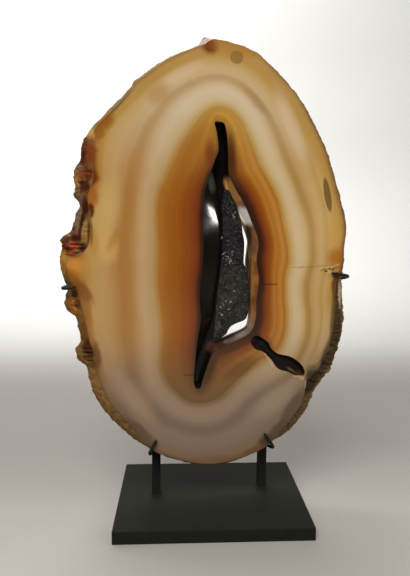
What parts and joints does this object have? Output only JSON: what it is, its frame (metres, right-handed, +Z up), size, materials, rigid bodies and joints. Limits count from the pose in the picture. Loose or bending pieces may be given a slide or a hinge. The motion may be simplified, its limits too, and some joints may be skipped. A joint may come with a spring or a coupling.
{
  "type": "agate slice",
  "caption": "Thick polished slice of banded agate with a dark crystal-lined hollow, held upright by bent wire prongs on a small two-post metal stand.",
  "frame": {"origin": "middle of the plate's underside", "axes": "+Z up; the plate's long side runs along X and its front looks along -Y, and the slice is turned 5.5 degrees about Z on the plate"},
  "size_m": [0.2121, 0.1016, 0.3452],
  "materials": {
    "agate": "polished",
    "dark_crystals": "gloss",
    "black_paint": "satin"
  },
  "bodies": {
    "root": {"agate_slice": "agate", "druzy_crust": "dark_crystals", "base_plate": "black_paint", "left_post": "black_paint", "right_post": "black_paint", "left_foot_prong": "black_paint", "right_foot_prong": "black_paint", "left_side_wire": "black_paint", "right_side_wire": "black_paint"}
  },
  "joints": []
}
